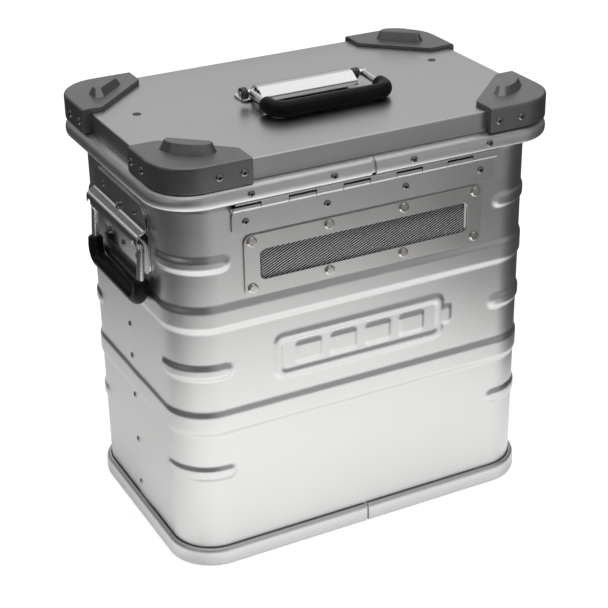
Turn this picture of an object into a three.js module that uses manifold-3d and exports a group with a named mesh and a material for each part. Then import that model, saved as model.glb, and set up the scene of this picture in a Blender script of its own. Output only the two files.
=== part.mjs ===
// Rigid aluminium battery safety case: beaded sheet body, screened vent, riveted
// lid with cast corner caps, piano hinge, drop handles and draw latches.
// Millimetres, +Z up. The parts are drawn about the middle of the case body and
// the group then moves so that the origin is under the middle of the whole
// object, latches included. The hinge side faces -Y, the latch side +Y.
import * as THREE from 'three';
import { mergeVertices, toCreasedNormals } from 'three/addons/utils/BufferGeometryUtils.js';
import Module from 'manifold-3d';

const wasm = await Module();
wasm.setup();

// ---- driving dimensions -------------------------------------------------
const GAP = 0.3;                       // standing gap between neighbouring parts
const SHEET = 1.2;                     // case sheet
const LATCH_SIDE_SHIFT = 7.5;          // half of what the latches stand out beyond the rim
const BODY = { x: 184.9, y: 117.0, r: 40, z0: 1.9, z1: 364.5 };
const LID = { x: 200.0, y: 132.6, r: 44, fade: 0.3 };
const LID_RIM = { z0: 366.6, z1: 381.9, inner: 16.8 };
const PAN = { inset: 9.7, z0: 382.3, z1: 401.0 };
// Two corner caps sit a little further out than the other two, and each carries its
// stacking lug in its own place. Outlines are for the quarter where x and y are positive.
const CAPS = {
  a: {
    half: [196, 129], z0: 381.2, z1: 404.6,
    edge: [[114.4, 160, 0], [114.4, 101.9, 6], [168.5, 51.3, 5], [230, 51.3, 0], [230, 160, 0]],
  },
  b: {
    half: [198.6, 130.8], z0: 382.2, z1: 405.4,
    edge: [[120.5, 160, 0], [120.5, 104.8, 5], [178.5, 50, 5], [230, 50, 0], [230, 160, 0]],
  },
};
const LUGS = {
  latch_right: {
    foot: [[138.4, 101.2], [168.6, 73.2], [174.9, 77], [174.8, 84], [173, 92], [167, 101], [157.5, 107.6],
      [149, 110.5], [143.5, 110.3], [138.2, 105.5]],
    head: [[141.2, 102.8], [170.3, 77.6], [172.4, 80], [171.6, 88.3], [166.7, 97.9], [161.5, 102],
      [155.9, 105.4], [150.5, 107.5], [147.4, 108.3], [142.5, 106.5]],
  },
  latch_left: {
    foot: [[141, 100.5], [168, 74], [176, 74.5], [177.5, 88], [172, 97], [163, 104], [151, 108], [143.5, 104.5]],
    head: [[145, 100], [168.5, 79], [173.5, 80.5], [174.3, 87], [169.5, 94.5], [161, 101], [153, 103.6], [147, 103]],
  },
  hinge_left: {
    foot: [[134, 98], [168.3, 66.8], [174.4, 71.5], [173.8, 77.5], [170.8, 84.5], [165.5, 93], [157.5, 100.2],
      [147.8, 104.7], [140, 104.2], [135.8, 101.8]],
    head: [[136.6, 95.4], [166.8, 68.3], [170.4, 71.3], [170.1, 77], [167.6, 83.8], [161.6, 90.8],
      [155, 96.4], [148, 99.4], [141.2, 100.3], [137, 98.9]],
  },
  hinge_right: {
    foot: [[144.6, 97.5], [176, 70.2], [184.5, 72.5], [184, 80], [181, 88.5], [175, 95.7], [168, 102],
      [158, 106], [150.5, 107.7], [145.5, 104.5]],
    head: [[149.3, 95.3], [178.5, 70.5], [182.5, 73], [181.5, 80], [178.5, 86.5], [173.5, 92.5],
      [166.6, 98.8], [159, 101.9], [153.5, 102.3], [149.6, 100]],
  },
};
const LUG_TOP = 412.5;
const BASE_RIM = { out: 5.5, z1: 18.4, under: 14 };

const BEAD = 1.8;                      // how far a swaged bead stands proud
const BEAD_LEVELS = [
  { z: [90.5, 95, 102, 106.5], full: false },
  { z: [137.5, 144.5, 158, 164.5], full: true },
  { z: [195.5, 200, 207, 211.5], full: false },
  { z: [242.5, 249.5, 263, 269.5], full: true },
  { z: [300.5, 305, 312, 316.5], full: false },
];
const BEAD_LEAD = { long: 10.9, side: 4.5, fade: 3.5 };

const VENT = { hx: 121, z0: 271, z1: 329.5, openX: 106, openZ0: 285.5, openZ1: 314.5, r: 4 };
const VENT_RIVETS = { x: [-113.8, -37.9, 37.9, 113.8], z: [279, 323.5], r: 4.75, h: 2.1 };

const HINGE = { y: -121.2, z: 358, r: 3.5, bore: 1.65, pin: 1.3, x0: -132.7, pitch: 26.61, count: 10 };
const LEAF = { z0: 332, z1: 354, t: 1.6 };

const BAIL = { rod: 3.5, axleBend: 5, gripBend: 13, grip: 7.0 };
const SIDE = {
  axleD: 6.4, axleZ: 311.5, lean: 3.5, half: 62.5, hood: 61, z0: 282, z1: 348.5,
  bail: { mid: 0, half: 55.6, length: 52.5, gripStart: 33 },
};
const TOP = {
  axleY: 2, axleZ: 411.5, lean: 2.84, base: 59, hood: 49, web: [45.6, 47.2], stub: [-64.8, 66.8],
  bail: { mid: 5, half: 58, length: 50.5, gripStart: 31 },
};

const LATCH_X = [-95, 95];
const LATCH = { pU: 20, pZ: 340, qU: 17.5, qZ: 330, loop: 46, wire: 1.5, half: 15.9 };

const LINER = { out: 4.6, t: 5, z1: 355.5 };
const COLLAR = { out: 1.5, inner: 8, z0: 356, z1: 365.5 };

// ---- materials ----------------------------------------------------------
const paint = (color, roughness, metalness) => () => (
  new THREE.MeshStandardMaterial({ color, roughness, metalness })
);
const SATIN = paint(0xb7b9bb, 0.42, 0.9);
const BRIGHT = paint(0xd2d4d6, 0.25, 0.95);
const CAST = paint(0x8b8d90, 0.5, 0.7);
const STEEL = paint(0xc2c4c6, 0.28, 0.95);
const RUBBER = paint(0x0d0d0e, 0.45, 0.0);
const SCREEN = paint(0x4a4c4f, 0.6, 0.6);
const BOARD = paint(0xd9d6cc, 0.9, 0.0);
const FLOORING = paint(0x6f7275, 0.85, 0.0);

// ---- solid helpers ------------------------------------------------------
function solid(points, faces) {
  let volume = 0;
  for (const [a, b, c] of faces) {
    const [p, q, r] = [points[a], points[b], points[c]];
    volume += p[0] * (q[1] * r[2] - q[2] * r[1])
      - p[1] * (q[0] * r[2] - q[2] * r[0]) + p[2] * (q[0] * r[1] - q[1] * r[0]);
  }
  const order = volume < 0 ? (f) => [f[0], f[2], f[1]] : (f) => f;
  return new wasm.Manifold(new wasm.Mesh({
    numProp: 3,
    vertProperties: new Float32Array(points.flat()),
    triVerts: new Uint32Array(faces.flatMap(order)),
  }));
}

// Skin between equal-length loops; closed rings them, open ends get caps.
function loft(loops, closed = false, capPlane = [0, 1]) {
  const n = loops[0].length;
  const points = loops.flat();
  const faces = [];
  const last = closed ? loops.length : loops.length - 1;
  for (let i = 0; i < last; i += 1) {
    const k = (i + 1) % loops.length;
    for (let j = 0; j < n; j += 1) {
      const m = (j + 1) % n;
      faces.push([i * n + j, i * n + m, k * n + m], [i * n + j, k * n + m, k * n + j]);
    }
  }
  if (!closed) {
    const cap = (row, flip) => {
      const flat = loops[row].map((p) => new THREE.Vector2(p[capPlane[0]], p[capPlane[1]]));
      const turn = THREE.ShapeUtils.isClockWise(flat);
      for (const f of THREE.ShapeUtils.triangulateShape(flat, [])) {
        const g = f.map((v) => row * n + v);
        faces.push(flip !== turn ? [g[0], g[2], g[1]] : g);
      }
    };
    cap(0, true);
    cap(loops.length - 1, false);
  }
  return solid(points, faces);
}

// A three.js geometry as a solid, with its seams welded.
function weld(source, turn) {
  const bare = source.applyMatrix4(turn);
  bare.deleteAttribute('normal');
  bare.deleteAttribute('uv');
  const { index, attributes } = mergeVertices(bare, 1e-4);
  const points = [];
  for (let i = 0; i < attributes.position.count; i += 1) {
    points.push(new THREE.Vector3().fromBufferAttribute(attributes.position, i).toArray());
  }
  const faces = [];
  for (let i = 0; i < index.count; i += 3) {
    const f = [index.getX(i), index.getX(i + 1), index.getX(i + 2)];
    if (f[0] !== f[1] && f[1] !== f[2] && f[2] !== f[0]) faces.push(f);
  }
  return solid(points, faces);
}

// Columns are where the outline's first, second and extrusion directions go.
const EXTRUDE_TO = {
  x: new THREE.Matrix4().makeBasis(...[[0, 1, 0], [0, 0, 1], [1, 0, 0]].map((v) => new THREE.Vector3(...v))),
  y: new THREE.Matrix4().makeBasis(...[[1, 0, 0], [0, 0, 1], [0, 1, 0]].map((v) => new THREE.Vector3(...v))),
  z: new THREE.Matrix4(),
};

// A flat outline pushed along one axis between two stations.
function prism(outline, axis, lo, hi) {
  const shape = new THREE.Shape(outline.map(([a, b]) => new THREE.Vector2(a, b)));
  const slab = new THREE.ExtrudeGeometry(shape, { depth: hi - lo, bevelEnabled: false });
  return weld(slab.translate(0, 0, lo), EXTRUDE_TO[axis]);
}

function box(x0, x1, y0, y1, z0, z1) {
  return prism([[x0, y0], [x1, y0], [x1, y1], [x0, y1]], 'z', z0, z1);
}

function roundedLoop(hx, hy, r, n = 4, cx = 0, cy = 0) {
  const loop = [];
  [[1, 1], [-1, 1], [-1, -1], [1, -1]].forEach(([sx, sy], start) => {
    for (let i = 0; i <= n; i += 1) {
      const a = ((start + i / n) * Math.PI) / 2;
      loop.push([cx + sx * (hx - r) + r * Math.cos(a), cy + sy * (hy - r) + r * Math.sin(a)]);
    }
  });
  return loop;
}

const lift = (loop, z) => loop.map(([x, y]) => [x, y, z]);
const ARC = 6;                         // facets in each corner of the case
const bodyLoop = (out, z) => (
  lift(roundedLoop(BODY.x + out, BODY.y + out, BODY.r + out, ARC), z)
);
const lidLoop = (inset, z) => (
  lift(roundedLoop(LID.x - inset, LID.y - inset, LID.r - LID.fade * inset, ARC), z)
);

const LATHE_TO = {
  x: new THREE.Matrix4().makeRotationZ(-Math.PI / 2),
  y: new THREE.Matrix4(),
  z: new THREE.Matrix4().makeRotationX(Math.PI / 2),
};

// A body of revolution from [station, radius] pairs that start and end on the axis.
function turned(profile, axis, centre, seg = 10, dir = 1) {
  const line = profile.map(([s, r]) => new THREE.Vector2(r, dir * s));
  const turn = new THREE.Matrix4().makeTranslation(...centre).multiply(LATHE_TO[axis]);
  return weld(new THREE.LatheGeometry(line, seg), turn);
}

const rod = (r, axis, lo, hi, centre, seg = 10) => (
  turned([[lo, 0], [lo, r], [hi, r], [hi, 0]], axis, centre, seg)
);

// Rounds the corners of a flat path.
function filleted(corners, closed, n = 4) {
  const path = [];
  corners.forEach(([x, y, r], i) => {
    if (!r || (!closed && (i === 0 || i === corners.length - 1))) {
      path.push([x, y]);
      return;
    }
    const before = corners[(i + corners.length - 1) % corners.length];
    const after = corners[(i + 1) % corners.length];
    const p = new THREE.Vector2(before[0] - x, before[1] - y).normalize();
    const q = new THREE.Vector2(after[0] - x, after[1] - y).normalize();
    const half = Math.acos(THREE.MathUtils.clamp(p.dot(q), -1, 1)) / 2;
    const c = p.clone().add(q).normalize().multiplyScalar(r / Math.sin(half));
    const from = p.clone().multiplyScalar(r / Math.tan(half)).sub(c);
    const to = q.clone().multiplyScalar(r / Math.tan(half)).sub(c);
    const turn = Math.atan2(from.x * to.y - from.y * to.x, from.dot(to));
    for (let k = 0; k <= n; k += 1) {
      const v = from.clone().rotateAround(new THREE.Vector2(), (turn * k) / n).add(c);
      path.push([x + v.x, y + v.y]);
    }
  });
  return path;
}

// Round bar or tube along a flat path; place maps path (a, b) and height c to space.
function bar(path, closed, place, outer, inner = 0, seg = 8) {
  const count = path.length;
  const ring = (i, r) => {
    const prev = path[closed ? (i + count - 1) % count : Math.max(i - 1, 0)];
    const next = path[closed ? (i + 1) % count : Math.min(i + 1, count - 1)];
    const t = new THREE.Vector2(next[0] - prev[0], next[1] - prev[1]).normalize();
    return Array.from({ length: seg }, (_, j) => {
      const a = (j / seg) * Math.PI * 2;
      return place(path[i][0] - t.y * r * Math.cos(a), path[i][1] + t.x * r * Math.cos(a),
        r * Math.sin(a));
    });
  };
  const rows = path.map((_, i) => ring(i, typeof outer === 'function' ? outer(i, count) : outer));
  if (closed) return loft(rows, true);
  if (inner) return loft([...rows, ...path.map((_, i) => ring(count - 1 - i, inner))], true);
  const ends = [0, count - 1].map((i) => place(path[i][0], path[i][1], 0));
  const points = [ends[0], ...rows.flat(), ends[1]];
  const faces = [];
  for (let j = 0; j < seg; j += 1) {
    const m = (j + 1) % seg;
    faces.push([0, 1 + m, 1 + j]);
    for (let i = 0; i < count - 1; i += 1) {
      const a = 1 + i * seg;
      faces.push([a + j, a + m, a + seg + m], [a + j, a + seg + m, a + seg + j]);
    }
    const e = 1 + (count - 1) * seg;
    faces.push([e + j, e + m, points.length - 1]);
  }
  return solid(points, faces);
}

// Outline of a bent strip of even thickness around a centre line.
function strip(line, t) {
  const side = (s) => line.map(([a, b], i) => {
    const p = line[Math.max(i - 1, 0)];
    const q = line[Math.min(i + 1, line.length - 1)];
    const d = new THREE.Vector2(q[0] - p[0], q[1] - p[1]).normalize();
    return [a - d.y * s * (t / 2), b + d.x * s * (t / 2)];
  });
  return [...side(1), ...side(-1).reverse()];
}

const group = new THREE.Group();
function add(name, manifold, material) {
  const data = manifold.getMesh();
  const geometry = new THREE.BufferGeometry();
  const xyz = new Float32Array((data.vertProperties.length / data.numProp) * 3);
  for (let i = 0; i < xyz.length / 3; i += 1) {
    for (let k = 0; k < 3; k += 1) xyz[3 * i + k] = data.vertProperties[data.numProp * i + k];
  }
  geometry.setAttribute('position', new THREE.BufferAttribute(xyz, 3));
  geometry.setIndex(Array.from(data.triVerts));
  const mesh = new THREE.Mesh(toCreasedNormals(geometry, Math.PI / 5), material());
  mesh.name = name;
  group.add(mesh);
}

// ---- body ---------------------------------------------------------------
// Wall stations: place, outward direction, and 1 where a corner bead stands proud.
function wallStations(n = ARC) {
  const stations = [];
  [[1, 1], [-1, 1], [-1, -1], [1, -1]].forEach(([sx, sy], start) => {
    const at = (i, along, weight) => {
      const a = ((start + i / n) * Math.PI) / 2;
      const [nx, ny] = [Math.cos(a), Math.sin(a)];
      stations.push({
        x: sx * (BODY.x - BODY.r) + BODY.r * nx - ny * along,
        y: sy * (BODY.y - BODY.r) + BODY.r * ny + nx * along,
        nx, ny, weight,
      });
    };
    const first = start % 2 === 0 ? BEAD_LEAD.side : BEAD_LEAD.long;
    const second = start % 2 === 0 ? BEAD_LEAD.long : BEAD_LEAD.side;
    at(0, -first, 0);
    at(0, BEAD_LEAD.fade - first, 1);
    for (let i = 0; i <= n; i += 1) at(i, 0, 1);
    at(n, second - BEAD_LEAD.fade, 1);
    at(n, second, 0);
  });
  return stations;
}

function bodyShell() {
  const stations = wallStations();
  const level = (z, proud, full) => stations.map((s) => {
    const d = proud * (full ? 1 : s.weight);
    return [s.x + s.nx * d, s.y + s.ny * d, z];
  });
  const outer = [level(BODY.z0, 0, true)];
  for (const bead of BEAD_LEVELS) {
    bead.z.forEach((z, i) => outer.push(level(z, i === 1 || i === 2 ? BEAD : 0, bead.full)));
  }
  outer.push(level(BODY.z1, 0, true));
  const inner = [level(BODY.z1, -SHEET, true), level(BODY.z0, -SHEET, true)];
  const cut = prism(roundedLoop(VENT.openX, (VENT.openZ1 - VENT.openZ0) / 2, VENT.r, 4, 0,
    (VENT.openZ0 + VENT.openZ1) / 2), 'y', -BODY.y - 5, -BODY.y + 5);
  return loft([...outer, ...inner], true).subtract(cut).add(embossing());
}

// A plain battery outline pressed into the hinge side, in place of any mark.
function embossing() {
  const [cx, cz, hw, hh, line] = [-5, 203.5, 88, 22, 6.5];
  const [y0, y1] = [-BODY.y - 1.2, -BODY.y + 0.5];
  let sign = prism(roundedLoop(hw, hh, 8, 3, cx, cz), 'y', y0, y1)
    .subtract(prism(roundedLoop(hw - line, hh - line, 3, 3, cx, cz), 'y', y0 - 1, y1 + 1));
  sign = sign.add(prism(roundedLoop(4.5, 9, 3, 3, cx + hw + 3.4, cz), 'y', y0, y1));
  for (let i = 0; i < 4; i += 1) {
    sign = sign.add(prism(roundedLoop(12.5, 9.5, 2.5, 3, cx - 54 + 36 * i, cz), 'y', y0, y1));
  }
  return sign;
}

add('body_shell', bodyShell(), SATIN);
const ringOf = (loop, profile) => loft(profile.map(([a, z]) => loop(a, z)), true);
add('base_rim', ringOf(bodyLoop, [
  [-BASE_RIM.under, 0], [3.6, 0], [5.1, 1.5], [BASE_RIM.out, 5], [BASE_RIM.out, 13],
  [4.6, 16.7], [2.4, BASE_RIM.z1], [GAP, BASE_RIM.z1], [GAP, 1.6], [-BASE_RIM.under, 1.6],
]), BRIGHT);
const plate = (loop, inset, z0, z1) => loft([loop(inset, z0), loop(inset, z1)]);
add('floor_panel', plate(bodyLoop, -SHEET - GAP, 1.9, 3.1), SATIN);
add('floor_liner', plate(bodyLoop, -LINER.out - LINER.t - 0.4, 3.4, 9.4), FLOORING);
const ventWindow = (grow, y0, y1) => prism(roundedLoop(VENT.openX + grow,
  (VENT.openZ1 - VENT.openZ0) / 2 + grow, VENT.r, 4, 0, (VENT.openZ0 + VENT.openZ1) / 2), 'y', y0, y1);
add('liner_wall', ringOf(bodyLoop, [
  [-LINER.out - LINER.t, 3.4], [-LINER.out, 3.4], [-LINER.out, LINER.z1],
  [-LINER.out - LINER.t, LINER.z1],
]).subtract(ventWindow(2.5, -116, -100)), BOARD);
add('body_collar', ringOf(bodyLoop, [
  [-COLLAR.inner, COLLAR.z0], [-COLLAR.out, COLLAR.z0], [-COLLAR.out, COLLAR.z1],
  [-COLLAR.inner, COLLAR.z1],
]), BRIGHT);

// ---- vent ---------------------------------------------------------------
const ventMid = (VENT.z0 + VENT.z1) / 2;
const ventPlate = (hx, hz, y0, y1) => prism(roundedLoop(hx, hz, 7, 4, 0, ventMid), 'y', y0, y1);
add('vent_frame', ventPlate(VENT.hx, (VENT.z1 - VENT.z0) / 2, -BODY.y - 1.9, -BODY.y - GAP)
  .subtract(ventWindow(0, -125, -110)), BRIGHT);
add('vent_mesh', ventPlate(115, 22, -115.4, -114.7), SCREEN);
add('vent_backing', ventPlate(118, 25, -114.4, -113.0).subtract(ventWindow(-1, -120, -110)), SATIN);
let rivet = 0;
for (const z of VENT_RIVETS.z) {
  for (const x of VENT_RIVETS.x) {
    rivet += 1;
    const { r, h } = VENT_RIVETS;
    add(`vent_rivet_${rivet}`, turned(
      [[0, 0], [0, r], [0.7, r], [h - 0.5, 0.68 * r], [h, 0.4 * r], [h, 0]],
      'y', [x, -BODY.y - 1.95, z], 10, -1), BRIGHT);
  }
}

// ---- piano hinge --------------------------------------------------------
function knuckles(first) {
  let made = null;
  for (let i = first; i < HINGE.count; i += 2) {
    const x0 = HINGE.x0 + i * HINGE.pitch + 0.2;
    const piece = rod(HINGE.r, 'x', x0, x0 + HINGE.pitch - 0.4, [0, HINGE.y, HINGE.z], 10);
    made = made ? made.add(piece) : piece;
  }
  return made;
}
const hingeBore = rod(HINGE.bore, 'x', -150, 150, [0, HINGE.y, HINGE.z], 8);
function hingeLeafBody() {
  const y1 = -BODY.y - GAP;
  let leaf = prism(roundedLoop(132, (LEAF.z1 - LEAF.z0) / 2, 5, 3, 0.3, (LEAF.z0 + LEAF.z1) / 2),
    'y', y1 - LEAF.t, y1);
  for (let i = 0; i < HINGE.count; i += 2) {
    const x0 = HINGE.x0 + i * HINGE.pitch + 0.2;
    leaf = leaf.add(box(x0, x0 + HINGE.pitch - 0.4, y1 - LEAF.t, y1 - 0.4, LEAF.z0 + 8, HINGE.z));
  }
  return leaf.add(knuckles(0)).subtract(hingeBore);
}
function hingeLeafLid() {
  const [x0, x1] = [HINGE.x0, HINGE.x0 + HINGE.count * HINGE.pitch];
  const y1 = HINGE.y + 0.9;
  let leaf = box(x0, x1, -130.3, y1, 364.7, 366.3).add(box(x0, x1, y1 - LEAF.t, y1, 362.2, 366.0));
  for (let i = 1; i < HINGE.count; i += 2) {
    const k = HINGE.x0 + i * HINGE.pitch + 0.2;
    leaf = leaf.add(box(k, k + HINGE.pitch - 0.4, y1 - LEAF.t, y1, HINGE.z, 363));
  }
  return leaf.add(knuckles(1)).subtract(hingeBore);
}
add('hinge_leaf_body', hingeLeafBody(), STEEL);
add('hinge_leaf_lid', hingeLeafLid(), STEEL);
add('hinge_pin', rod(HINGE.pin, 'x', HINGE.x0 - 0.6, HINGE.x0 + HINGE.count * HINGE.pitch + 0.6,
  [0, HINGE.y, HINGE.z], 8), STEEL);

// ---- lid ----------------------------------------------------------------
add('lid_rim', ringOf(lidLoop, [
  [LID_RIM.inner, LID_RIM.z0], [3, LID_RIM.z0], [1, 367.6], [0.15, 370], [0, 374], [0.5, 377.4],
  [1.9, 379.3], [4.2, 380.2], [9.6, LID_RIM.z1], [LID_RIM.inner, LID_RIM.z1],
]), BRIGHT);
add('lid_pan', loft([lidLoop(PAN.inset, PAN.z0), lidLoop(PAN.inset, 399.6),
  lidLoop(PAN.inset + 0.5, 400.6), lidLoop(PAN.inset + 1.7, PAN.z1)])
  .subtract(plate(lidLoop, PAN.inset + SHEET, 375, PAN.z1 - SHEET)), SATIN);
add('lid_liner', plate(lidLoop, LID_RIM.inner + 0.6, 372.4, 380.4), BOARD);
add('lid_seal', ringOf(lidLoop, [[23.4, 366.1], [17.4, 366.1], [17.4, 372.1], [23.4, 372.1]]), RUBBER);

const overRim = loft([lidLoop(3.4, 378), lidLoop(3.4, 380.3), lidLoop(PAN.inset - GAP, 382.5),
  lidLoop(PAN.inset - GAP, PAN.z1 + GAP)]);
function cornerCap(sx, sy, cap, { foot, head }) {
  const place = (loop, z) => loop.map(([x, y]) => [sx * x, sy * y, z]);
  const outline = (inset, z) => lift(roundedLoop(cap.half[0] - inset, cap.half[1] - inset, 40 - inset, ARC), z);
  const shell = loft([outline(0, cap.z0), outline(0, cap.z1 - 2), outline(0.5, cap.z1 - 0.7), outline(2, cap.z1)])
    .subtract(overRim);
  // Stacking lug: a tapered segment with its straight side towards the middle of the lid.
  const lug = loft([place(foot, cap.z1 - 1), place(foot, cap.z1 + 0.6), place(head, LUG_TOP)]);
  const region = filleted(cap.edge, true, 3).map(([x, y]) => [sx * x, sy * y]);
  return shell.intersect(prism(region, 'z', 370, 420)).add(lug);
}
add('corner_cap_latch_right', cornerCap(1, 1, CAPS.a, LUGS.latch_right), CAST);
add('corner_cap_latch_left', cornerCap(-1, 1, CAPS.b, LUGS.latch_left), CAST);
add('corner_cap_hinge_left', cornerCap(-1, -1, CAPS.a, LUGS.hinge_left), CAST);
add('corner_cap_hinge_right', cornerCap(1, -1, CAPS.b, LUGS.hinge_right), CAST);
for (const s of [-1, 1]) {
  add(`lid_screw_${s < 0 ? 'left' : 'right'}`, turned(
    [[0, 0], [0, 4.6], [0.8, 4.6], [1.9, 2.9], [2.2, 0]], 'z', [s * 155, 27, PAN.z1 + 0.05], 10), STEEL);
}

// ---- handles ------------------------------------------------------------
const rad = THREE.MathUtils.degToRad;
// Bail and grip in a plane that hangs from the axle; place maps (along, out, across).
function handleSet(prefix, place, { mid, half, length, gripStart }, axle) {
  const [lo, hi] = [mid - half, mid + half];
  const loop = filleted([[lo, 0, BAIL.axleBend], [lo, length, BAIL.gripBend],
    [hi, length, BAIL.gripBend], [hi, 0, BAIL.axleBend]], true, 4);
  let bail = bar(loop, true, place, BAIL.rod, 0, 8);
  if (axle) bail = bail.add(axle);
  add(`${prefix}_bail`, bail, STEEL);
  const line = [[lo, gripStart], [lo, gripStart + 1.2],
    ...filleted([[lo, gripStart, 0], [lo, length, BAIL.gripBend],
      [hi, length, BAIL.gripBend], [hi, gripStart, 0]], false, 4).slice(1, -1),
    [hi, gripStart + 1.2], [hi, gripStart]];
  const radius = (i, n) => (i === 0 || i === n - 1 ? BAIL.grip - 1 : BAIL.grip);
  add(`${prefix}_grip`, bar(line, false, place, radius, BAIL.rod + 0.25, 8), RUBBER);
}

const sideHoodLine = [[2.55, SIDE.z1 + 1], [2.55, 329.5], [3.2, 327], [5.6, 325], [8.8, 323.2],
  [11, 320.6], [11.8, 317.6], [11.8, 313.2]];
for (const s of [-1, 1]) {
  const name = s < 0 ? 'left' : 'right';
  const wall = (d) => s * (BODY.x + d);
  const face = (half, z0) => roundedLoop(half, (SIDE.z1 - z0) / 2, 12, 4, 0, (SIDE.z1 + z0) / 2);
  const span = (a, b) => [Math.min(wall(a), wall(b)), Math.max(wall(a), wall(b))];
  add(`${name}_handle_backplate`, prism(face(SIDE.half, SIDE.z0), 'x', ...span(0.25, 1.45)), SATIN);
  let hood = prism(strip(sideHoodLine, 1.6).map(([d, z]) => [wall(d), z]), 'y', -SIDE.hood, SIDE.hood)
    .intersect(prism(face(SIDE.hood, SIDE.z0 - 40), 'x', ...span(-5, 30)));
  for (const t of [-1, 1]) {
    const [y0, y1] = [t * 51.2, t * 60].sort((a, b) => a - b);
    hood = hood.subtract(box(...span(9.5, 20), y0, y1, 300, 317.3));
  }
  add(`${name}_handle_hood`, hood, SATIN);
  const [c, k] = [Math.cos(rad(SIDE.lean)), Math.sin(rad(SIDE.lean))];
  handleSet(`${name}_handle`, (a, b, h) => (
    [wall(SIDE.axleD + b * k + h * c), a, SIDE.axleZ - b * c + h * k]), SIDE.bail);
}

function topBracket() {
  const base = prism(roundedLoop(TOP.base, 11.5, 4, 3, 0, 17.5), 'z', PAN.z1 + GAP, PAN.z1 + 2.1);
  const hoodLine = [[16, 402.4], [13.4, 404], [10.8, 409.4], [7.2, 414.2], [2.2, 416.7], [-3.6, 416.2],
    [-9.5, 413], [-13.6, 409.6], [-15, 406.2]];
  let bracket = base.add(prism(strip(hoodLine, 1.6), 'x', -TOP.hood, TOP.hood));
  const web = [[-3.5, 402.4], [14.4, 402.4], [13.4, 404], [10.8, 409.4], [7.2, 414.2], [2.2, 416.7], [-3.6, 416.2]];
  for (const s of [-1, 1]) {
    const [x0, x1] = TOP.web.map((v) => s * v).sort((a, b) => a - b);
    bracket = bracket.add(prism(web, 'x', x0, x1));
  }
  return bracket.subtract(rod(BAIL.rod + 0.35, 'x', -80, 80, [0, TOP.axleY, TOP.axleZ], 10));
}
add('top_handle_bracket', topBracket(), SATIN);
const [ct, kt] = [Math.cos(rad(TOP.lean)), Math.sin(rad(TOP.lean))];
handleSet('top_handle', (a, b, h) => [a, TOP.axleY - b * ct - h * kt, TOP.axleZ - b * kt + h * ct],
  TOP.bail, rod(3.0, 'x', ...TOP.stub, [0, TOP.axleY, TOP.axleZ], 10));

// ---- draw latches -------------------------------------------------------
// u is the distance out from the latch wall.
LATCH_X.forEach((cx) => {
  const name = cx < 0 ? 'left' : 'right';
  const out = (u) => BODY.y + u;
  const pivot = [cx, out(LATCH.pU), LATCH.pZ];
  const ear = filleted([[out(1), 328, 0], [out(LATCH.pU - 4), 334, 2], [out(LATCH.pU + 4), 336, 3.9],
    [out(LATCH.pU + 4), 344, 3.9], [out(LATCH.pU - 4), 344, 3], [out(1), 351, 0]], true, 3);
  let base = prism(roundedLoop(13, 16, 3, 3, cx, 338), 'y', out(GAP), out(1.9));
  for (const s of [-1, 1]) {
    const [x0, x1] = [cx + s * 9, cx + s * 10.5].sort((a, b) => a - b);
    base = base.add(prism(ear, 'x', x0, x1));
  }
  add(`latch_base_${name}`, base.subtract(rod(1.9, 'x', -20, 20, pivot, 8)), STEEL);
  add(`latch_pin_${name}`, rod(1.75, 'x', -14.1, 14.1, pivot, 8), STEEL);

  const web = strip([[24.9, 336], [24.9, 312], [26, 305], [29.5, 298]], 1.5).map(([u, z]) => [out(u), z]);
  let lever = prism(web, 'x', cx - 14, cx + 14);
  const flange = filleted([[out(24.9), 308, 0], [out(24.9), 338, 2], [out(LATCH.pU + 3), 343.6, 3.5],
    [out(LATCH.pU - 3.4), 343.4, 3.5], [out(LATCH.qU - 3.4), 333, 2], [out(LATCH.qU - 3.2), 326.6, 3]], true, 3);
  for (const s of [-1, 1]) {
    const [x0, x1] = [cx + s * 12.5, cx + s * 14].sort((a, b) => a - b);
    lever = lever.add(prism(flange, 'x', x0, x1));
  }
  lever = lever.subtract(rod(1.9, 'x', -20, 20, pivot, 8))
    .subtract(rod(1.7, 'x', -20, 20, [cx, out(LATCH.qU), LATCH.qZ], 8));
  add(`latch_lever_${name}`, lever, STEEL);

  const w = LATCH.half;
  const wire = filleted([[12.7, 0, 0], [w, 0, 1.6], [w, LATCH.loop, 3.2], [-w, LATCH.loop, 3.2],
    [-w, 0, 1.6], [-12.7, 0, 0]], false, 2);
  add(`latch_loop_${name}`, bar(wire, false, (a, b, h) => (
    [cx + a, out(LATCH.qU) + h, LATCH.qZ - b]), LATCH.wire, 0, 6), STEEL);

  const hook = [[out(15.9), 368.5], [out(17.2), 368.5], [out(17.2), 370.6], [out(22), 372.6],
    [out(22), 373.9], [out(20.6), 374.2], [out(17.2), 374.2], [out(17.2), 380], [out(15.9), 380]];
  add(`latch_keeper_${name}`, prism(hook, 'x', cx - 12, cx + 12), STEEL);
});

group.position.y = -LATCH_SIDE_SHIFT;
export default group;
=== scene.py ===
"""Looks for the aluminium battery safety case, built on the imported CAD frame."""
from math import acos, atan2, cos, pi, radians, sin, sqrt, tan
import bmesh
import bpy
import numpy as np
from mathutils import Matrix, Vector


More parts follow.
